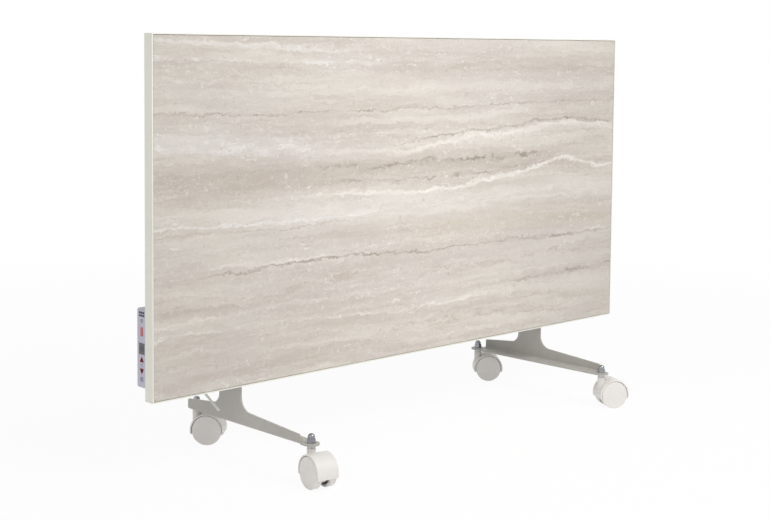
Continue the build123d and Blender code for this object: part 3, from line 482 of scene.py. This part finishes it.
FINISHES: tuple[Finish, ...] = (
    Finish("frame_paint", Surface.POWDER, (246, 245, 234), (240, 239, 228), 0.48),
    # leg_paint: the legs wear the frame's near-white paint; this darker colour is painted shade standing in
    # for the shade on their side plates.
    Finish("leg_paint", Surface.POWDER, (189, 186, 180), (182, 179, 173), 0.46),
    Finish("zinc", Surface.BRUSHED, (196, 198, 200), (172, 174, 176), 0.34, 500.0, 0.2),
    Finish("bright_chrome", Surface.BRIGHT, (156, 158, 162), (138, 140, 144), 0.12, 300.0, 0.03),
    Finish("white_plastic", Surface.MOULDED, (239, 236, 232), (234, 231, 227), 0.36, 1400.0, 0.12),
    Finish("unit_plastic", Surface.MOULDED, (203, 201, 216), (197, 195, 210), 0.5, 1600.0, 0.3),
    Finish("overlay_film", Surface.MOULDED, (204, 201, 217), (199, 196, 212), 0.38, 2200.0, 0.1),
    Finish("display_glass", Surface.CLEAR, (44, 36, 40), (36, 30, 34), 0.12, 900.0, 0.02),
    Finish("display_black", Surface.MOULDED, (38, 36, 40), (30, 28, 32), 0.4),
    Finish("key_dark", Surface.MOULDED, (52, 22, 32), (40, 16, 24), 0.5, 1500.0, 0.3),
    Finish("key_grey", Surface.MOULDED, (178, 176, 190), (168, 166, 181), 0.5, 1500.0, 0.3),
    Finish("pilot_red", Surface.CLEAR, (206, 62, 72), (190, 44, 56), 0.2, 900.0, 0.05),
    Finish("ink_red", Surface.MOULDED, (205, 70, 82), (196, 60, 72), 0.55),
    Finish("ink_dark", Surface.MOULDED, (66, 58, 74), (54, 48, 62), 0.55),
    Finish("circuit_green", Surface.MOULDED, (34, 112, 66), (24, 92, 52), 0.35, 700.0, 0.2),
    Finish("block_black", Surface.MOULDED, (44, 44, 47), (34, 34, 37), 0.45),
    Finish("grommet_rubber", Surface.MOULDED, (40, 40, 41), (30, 30, 31), 0.7, 1100.0, 0.4),
    Finish("silicone", Surface.MOULDED, (226, 226, 222), (214, 214, 208), 0.55, 800.0, 0.2),
    Finish("carbon_film", Surface.MOULDED, (46, 46, 50), (34, 34, 38), 0.4, 600.0, 0.2),
    Finish("copper", Surface.BRUSHED, (214, 140, 106), (186, 112, 82), 0.3, 500.0, 0.2),
    Finish("insulation", Surface.FIBRE, (222, 208, 166), (202, 186, 142), 0.9, 350.0, 0.9),
    Finish("steatite", Surface.MOULDED, (228, 222, 206), (216, 208, 190), 0.4, 600.0, 0.3),
    Finish("sensor_white", Surface.MOULDED, (214, 214, 210), (204, 204, 199), 0.4, 1500.0, 0.2),
)


class Workshop:
    """Holds the built materials and gives them to pieces."""

    def __init__(self) -> None:
        """Builds every finish once."""
        self.materials = {finish.name: finish.material() for finish in FINISHES}
        self.materials["tile_face"] = Travertine().material()

    def paint(self, piece: bpy.types.Object, finish: str) -> None:
        """Puts a finish on all of a piece's material slots."""
        data = piece.data
        if not data.materials:
            data.materials.append(None)
        for index in range(len(piece.material_slots)):
            piece.material_slots[index].material = self.materials[finish]

    def dress(self, frame: dict) -> None:
        """Gives each CAD node the finish that its record slot names."""
        for part in frame["record"]["subparts"]:
            self.paint(frame["nodes"][part["node"]], part["material_slot"])

    def fit(self, piece: bpy.types.Object, body: str, finish: str, slot: str) -> bpy.types.Object:
        """Dresses a new piece and seats it on a body.

        Args:
            piece: The new mesh object.
            body: Name of the body that carries it.
            finish: Name of the finish that it wears.
            slot: Material slot of the record that it stands for; not used.

        Returns:
            The piece.
        """
        self.paint(piece, finish)
        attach(piece, body)
        log.info("fitted %s on %s", piece.name, body)
        return piece


def mesh_piece(name: str, corners: list[Vector], faces: list[tuple[int, ...]]) -> bpy.types.Object:
    """Makes a mesh object from corners and faces.

    Args:
        name: Name of the object.
        corners: Places of the corners, in metres.
        faces: Corner numbers of each face.

    Returns:
        The object, linked to the scene.
    """
    data = bpy.data.meshes.new(name)
    data.from_pydata([tuple(c) for c in corners], [], faces)
    data.validate()
    piece = bpy.data.objects.new(name, data)
    bpy.context.scene.collection.objects.link(piece)
    return piece


@dataclass(frozen=True)
class Stroke:
    """One line of a flat drawing: its course, its width and whether it closes, in millimetres."""

    course: tuple[Point, ...]
    width: float
    closed: bool = False

    def sides(self) -> list[tuple[Vector, Vector]]:
        """Returns the left and right edge points of the stroke, mitred at its corners."""
        points = [Vector(p) for p in self.course]
        count = len(points)
        edges = []
        for i, here in enumerate(points):
            before = points[i - 1] if self.closed or i else None
            after = points[(i + 1) % count] if self.closed or i < count - 1 else None
            arriving = (here - before) if before else None
            leaving = (after - here) if after else None
            ways = [way.normalized() for way in (arriving, leaving) if way]
            mean = sum(ways, Vector((0, 0))).normalized()
            normal = Vector((-mean.y, mean.x))
            spread = self.width / 2 / max(0.35, abs(mean.dot(ways[0])))
            edges.append((here + normal * spread, here - normal * spread))
        return edges


def drawing(
    name: str, strokes: Sequence[Stroke], place: Callable[[Vector], Vector], lift: Vector
) -> bpy.types.Object:
    """Makes thin solid strokes on a surface.

    Args:
        name: Name of the object.
        strokes: The lines to lay down.
        place: Turns a point of the drawing into a place on the surface, in metres.
        lift: Thickness of the strokes and its direction, in metres.

    Returns:
        The object.
    """
    corners: list[Vector] = []
    faces: list[tuple[int, ...]] = []
    for stroke in strokes:
        sides = stroke.sides()
        start = len(corners)
        for left, right in sides:
            corners += [place(left), place(right), place(left) + lift, place(right) + lift]
        count = len(sides)
        for i in range(count if stroke.closed else count - 1):
            a, b = start + 4 * i, start + 4 * ((i + 1) % count)
            faces += [(a, b, b + 1, a + 1), (a + 2, a + 3, b + 3, b + 2)]
            faces += [(a, a + 2, b + 2, b), (a + 1, b + 1, b + 3, a + 3)]
        if not stroke.closed:
            last = start + 4 * (count - 1)
            faces.append((start, start + 1, start + 3, start + 2))
            faces.append((last, last + 2, last + 3, last + 1))
    return mesh_piece(name, corners, faces)


def arc(centre: Point, radius: float, begin: float, end: float, steps: int = 20) -> tuple[Point, ...]:
    """Returns points along an arc, its angles in degrees anticlockwise from the right."""
    turns = [math.radians(begin + (end - begin) * i / steps) for i in range(steps + 1)]
    return tuple((centre[0] + radius * math.cos(t), centre[1] + radius * math.sin(t)) for t in turns)


def loose_parts(piece: bpy.types.Object) -> list[list[Vector]]:
    """Returns the corners of each separate solid in a piece."""
    data = piece.data
    root = list(range(len(data.vertices)))

    def find(i: int) -> int:
        """Returns the group that a corner belongs to."""
        while root[i] != i:
            root[i] = root[root[i]]
            i = root[i]
        return i

    seats: dict[tuple, int] = {}
    for vertex in data.vertices:
        key = tuple(round(c * 1e6) for c in vertex.co)
        root[vertex.index] = seats.setdefault(key, vertex.index)
    for edge in data.edges:
        root[find(edge.vertices[0])] = find(edge.vertices[1])
    groups: dict[int, list[Vector]] = {}
    for vertex in data.vertices:
        groups.setdefault(find(vertex.index), []).append(vertex.co.copy())
    return list(groups.values())


@dataclass
class HeatingPanel:
    """The panel's fine details: the frame's mitred corner seams, and dark crosses of painted shade on the
    screws where their cross recesses are.
    """

    seam_width: float = 0.35
    seam_length: float = 2.4
    seam_proud: float = 0.02
    seam_margin: float = 0.3
    cross_reach: float = 1.6
    cross_width: float = 0.7
    cross_proud: float = 0.03

    def build(self, frame: dict, shop: Workshop) -> None:
        """Adds the corner seams to the front lip and the dark painted-shade crosses to the rear screws."""
        low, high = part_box("case_frame")
        strokes = []
        for x, way in ((low.x, 1), (high.x, -1)):
            for z, rise in ((low.z, 1), (high.z, -1)):
                start = (x / MM + way * self.seam_margin, z / MM + rise * self.seam_margin)
                end = (start[0] + way * self.seam_length, start[1] + rise * self.seam_length)
                strokes.append(Stroke((start, end), self.seam_width))
        lift = Vector((0, self.seam_proud * MM, 0))
        depth = low.y + self.seam_proud * MM / 2
        seams = drawing("frame_corner_seams", strokes, self.upright(depth), lift)
        shop.fit(seams, "heater", "leg_paint", "frame_paint")
        for node in ("rear_cover_screws", "housing_screws"):
            self.crosses(frame["nodes"][node], shop)

    @staticmethod
    def upright(depth: float) -> Callable[[Vector], Vector]:
        """Returns what places a point, right and up in millimetres, on a plane at that depth."""
        return lambda p: Vector((p.x * MM, depth, p.y * MM))

    def crosses(self, screws: bpy.types.Object, shop: Workshop) -> None:
        """Lays a flat dark cross of painted shade on the head of each screw of a node, standing in for its
        shaded cross recess.
        """
        strokes, backs = [], []
        for solid in loose_parts(screws):
            backs.append(max(c.y for c in solid))
            x = (min(c.x for c in solid) + max(c.x for c in solid)) / 2 / MM
            z = (min(c.z for c in solid) + max(c.z for c in solid)) / 2 / MM
            strokes.append(Stroke(((x - self.cross_reach, z), (x + self.cross_reach, z)), self.cross_width))
            strokes.append(Stroke(((x, z - self.cross_reach), (x, z + self.cross_reach)), self.cross_width))
        depth = max(backs) + self.cross_proud * MM / 2
        lift = Vector((0, -self.cross_proud * MM, 0))
        piece = drawing(screws.name + "_painted_recess_shade", strokes, self.upright(depth), lift)
        # The black crosses are painted shade for the hollows of the screws' cross recesses.
        shop.fit(piece, "heater", "block_black", "block_black")


@dataclass
class ControlFace:
    """The printed face of the thermostat unit: plain bars, key outlines, degree mark and display segments."""

    ink: float = 0.05
    bar_drops: tuple[float, ...] = (2.6, 7.4)
    bar_lefts: tuple[float, ...] = (-7.7, -2.4, 2.9)
    bar_length: float = 4.8
    bar_height: float = 3.5
    dial_drop: float = 15.9
    dial_radius: float = 2.7
    key_seat: float = 3.5
    outline_reach: float = 6.7
    outline_width: float = 0.8
    digit_width: float = 4.4
    digit_height: float = 8.6
    digit_stroke: float = 0.8

    def build(self, shop: Workshop) -> None:
        """Makes the prints on the overlay, the window and the mode key."""
        face, face_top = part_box("face_overlay")
        window, window_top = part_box("display_window")
        key, key_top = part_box("mode_button")
        self.middle = (face.y + face_top.y) / 2
        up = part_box("up_button")[0].z / MM + self.key_seat
        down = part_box("down_button")[1].z / MM - self.key_seat
        glass = (window.z + window_top.z) / 2 / MM
        moon = (key.z + key_top.z) / 2 / MM
        self.lay(shop, "face_bars", self.bars(face_top.z / MM), face.x)
        self.lay(shop, "face_dial_mark", self.dial(face_top.z / MM - self.dial_drop), face.x)
        self.lay(shop, "key_outlines", self.outlines(up, down), face.x, "ink_red", "pilot_red")
        self.lay(shop, "degree_mark", self.degree((up + down) / 2), face.x)
        self.lay(shop, "display_segments", self.digits(glass), window.x)
        self.lay(shop, "mode_mark", [Stroke(arc((0.6, moon), 2.2, 70, 290), 0.9)], key.x, body="mode_button")

    def lay(
        self,
        shop: Workshop,
        name: str,
        strokes: list[Stroke],
        plane: float,
        finish: str = "ink_dark",
        slot: str = "display_black",
        body: str = "heater",
    ) -> None:
        """Prints strokes on a plane that faces -X.

        Args:
            shop: Holder of the finishes.
            name: Name of the print.
            strokes: Lines to print, right and up as seen from the unit's side.
            plane: X of the printed surface, in metres.
            finish: Finish of the ink.
            slot: Material slot that the ink stands for.
            body: Body that carries the print.
        """

        def place(p: Vector) -> Vector:
            """Returns the place of a point of the drawing."""
            return Vector((plane + self.ink * MM / 4, self.middle - p.x * MM, p.y * MM))

        shop.fit(drawing(name, strokes, place, Vector((-self.ink * MM, 0, 0))), body, finish, slot)

    def bars(self, top: float) -> list[Stroke]:
        """Returns two rows of plain bars below the face's top edge."""
        rows = [(left, top - drop) for drop in self.bar_drops for left in self.bar_lefts]
        return [
            Stroke(((left, rise), (left + self.bar_length, rise)), self.bar_height)
            for left, rise in rows
        ]

    def dial(self, rise: float) -> list[Stroke]:
        """Returns an open ring with a short pointer."""
        ring = Stroke(arc((0, rise), self.dial_radius, 130, 410), 1.1)
        return [ring, Stroke(((0, rise), (0, rise + self.dial_radius + 1.0)), 1.2)]

    def outlines(self, up: float, down: float) -> list[Stroke]:
        """Returns the outline round each arrow key."""
        return [
            Stroke(arc((0, rise), self.outline_reach, turn, turn + 240, 2), self.outline_width, True)
            for rise, turn in ((up, 90), (down, -90))
        ]

    def degree(self, rise: float) -> list[Stroke]:
        """Returns a small ring and an open arc, as a degree sign."""
        ring = Stroke(arc((-2.4, rise + 1.4), 0.8, 0, 340), 0.5)
        return [ring, Stroke(arc((1.4, rise), 2.0, 50, 310), 0.7)]

    def digits(self, rise: float) -> list[Stroke]:
        """Returns the unlit segments of two digits."""
        found = []
        half = self.digit_height / 2
        gap = self.digit_stroke * 0.75
        for left in (-self.digit_width - 0.9, 0.9):
            right = left + self.digit_width
            for level in (rise - half, rise, rise + half):
                found.append(Stroke(((left + gap, level), (right - gap, level)), self.digit_stroke))
            for x in (left, right):
                for low in (rise - half, rise):
                    found.append(Stroke(((x, low + gap), (x, low + half - gap)), self.digit_stroke))
        return found


@dataclass
class Studio:
    """Camera, lamps, floor and background of the picture."""

    frame_width: float = 770.0
    frame_height: float = 520.0
    centre_row: float = 150.0
    focal_px: float = 1436.2
    yaw: float = 43.6
    pitch: float = 4.17
    roll: float = -0.53
    station: tuple[float, float, float] = (-1.9097, -1.9151, 0.7261)
    ambient: float = 0.51
    key_watts: float = 45.0
    key_place: tuple[float, float, float] = (0.3, -2.1, 2.5)
    key_size: float = 1.8
    fill_watts: float = 12.5
    fill_place: tuple[float, float, float] = (-3.2, -1.2, 1.6)
    floor_reach: float = 40.0
    floor_shade: float = 0.07
    floor_fade: Point = (1.0, 2.8)

    def build(self) -> None:
        """Sets up the whole studio."""
        self.camera()
        self.lamp("key_lamp", self.key_place, self.key_size, self.key_watts)
        self.lamp("fill_lamp", self.fill_place, self.key_size, self.fill_watts)
        self.floor()
        self.world()
        bpy.context.scene.view_settings.view_transform = "Standard"

    def camera(self) -> None:
        """Places the camera where the photograph was taken from."""
        yaw, pitch, roll = (math.radians(a) for a in (self.yaw, self.pitch, self.roll))
        ahead = Vector((math.sin(yaw) * math.cos(pitch), math.cos(yaw) * math.cos(pitch), -math.sin(pitch)))
        level = Vector((math.cos(yaw), -math.sin(yaw), 0.0))
        down = ahead.cross(level)
        right = level * math.cos(roll) + down * math.sin(roll)
        up = level * math.sin(roll) - down * math.cos(roll)
        data = bpy.data.cameras.new("camera")
        data.sensor_width = 36.0
        data.lens = self.focal_px / self.frame_width * data.sensor_width
        data.shift_y = (self.centre_row - self.frame_height / 2) / self.frame_width
        data.clip_start, data.clip_end = 0.05, 100.0
        eye = bpy.data.objects.new("camera", data)
        turn = Matrix((right, up, -ahead)).transposed().to_4x4()
        eye.matrix_world = Matrix.Translation(Vector(self.station)) @ turn
        bpy.context.scene.collection.objects.link(eye)
        bpy.context.scene.camera = eye

    def lamp(self, name: str, place: Sequence[float], size: float, watts: float) -> None:
        """Adds one square soft lamp that faces the panel."""
        data = bpy.data.lights.new(name, "AREA")
        data.shape, data.size, data.energy = "SQUARE", size, watts
        lamp = bpy.data.objects.new(name, data)
        lamp.location = place
        lamp.rotation_mode = "QUATERNION"
        lamp.rotation_quaternion = (Vector((0, 0, 0.4)) - Vector(place)).to_track_quat("-Z", "Y")
        bpy.context.scene.collection.objects.link(lamp)

    def floor(self) -> None:
        """Lays a plain pale floor that keeps a soft shadow."""
        reach = self.floor_reach
        corners = [Vector((x * reach, y * reach, 0)) for x, y in ((-1, -1), (1, -1), (1, 1), (-1, 1))]
        floor = mesh_piece("floor", corners, [(0, 1, 2, 3)])
        graph = Graph("floor")
        cloud = graph.noise(graph.place, 0.8)
        colour = graph.mix(cloud, linear((250, 250, 250)), linear((252, 252, 252)))
        graph.wire(Base_Color=colour, Roughness=0.9)
        graph.wire(Specular_IOR_Level=0.0)
        away = graph.node("VectorMath", {0: graph.place}, operation="LENGTH").outputs["Value"]
        share = graph.step(away, *self.floor_fade, (1.0 - self.floor_shade, 1.0))
        self.show_white(graph, graph.shader.outputs[0], share, 1.0)
        floor.data.materials.append(graph.material)

    def show_white(self, graph: Graph, lit: object, share: object, strength: float) -> None:
        """Mixes plain white into what the camera, gloss and glass see of a surface."""
        path = graph.node("LightPath", {}).outputs
        seen = graph.math("MAXIMUM", path["Is Camera Ray"], path["Is Glossy Ray"])
        seen = graph.math("MULTIPLY", graph.math("MAXIMUM", seen, path["Is Transmission Ray"]), share)
        glow = graph.node("Emission", {"Color": (1, 1, 1, 1), "Strength": strength}).outputs[0]
        mixed = graph.node("MixShader", {0: seen, 1: lit, 2: glow}).outputs[0]
        output = next(n for n in graph.tree.nodes if n.bl_idname == "ShaderNodeOutputMaterial")
        graph.tree.links.new(mixed, output.inputs[0])

    def world(self) -> None:
        """Lights the room evenly and shows white behind the object."""
        world = bpy.data.worlds.new("room")
        world.use_nodes = True
        tree = world.node_tree
        tree.nodes.clear()
        path = tree.nodes.new("ShaderNodeLightPath")
        dim, white = tree.nodes.new("ShaderNodeBackground"), tree.nodes.new("ShaderNodeBackground")
        dim.inputs[1].default_value = self.ambient
        dim.inputs[0].default_value = (1, 1, 1, 1)
        white.inputs[0].default_value = (1, 1, 1, 1)
        join, output = tree.nodes.new("ShaderNodeMixShader"), tree.nodes.new("ShaderNodeOutputWorld")
        either, all_three = tree.nodes.new("ShaderNodeMath"), tree.nodes.new("ShaderNodeMath")
        either.operation = all_three.operation = "MAXIMUM"
        for source, target in (
            (path.outputs["Is Camera Ray"], either.inputs[0]),
            (path.outputs["Is Glossy Ray"], either.inputs[1]),
            (either.outputs[0], all_three.inputs[0]),
            (path.outputs["Is Transmission Ray"], all_three.inputs[1]),
            (all_three.outputs[0], join.inputs[0]),
            (dim.outputs[0], join.inputs[1]),
            (white.outputs[0], join.inputs[2]),
            (join.outputs[0], output.inputs[0]),
        ):
            tree.links.new(source, target)
        bpy.context.scene.world = world


def main() -> None:
    """Builds the pieces in order, dresses them and sets up the studio."""
    logging.basicConfig(level=logging.INFO, format="%(message)s")
    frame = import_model()
    shop = Workshop()
    shop.dress(frame)
    HeatingPanel().build(frame, shop)
    ControlFace().build(shop)
    Studio().build()


if __name__ == "__main__":
    main()
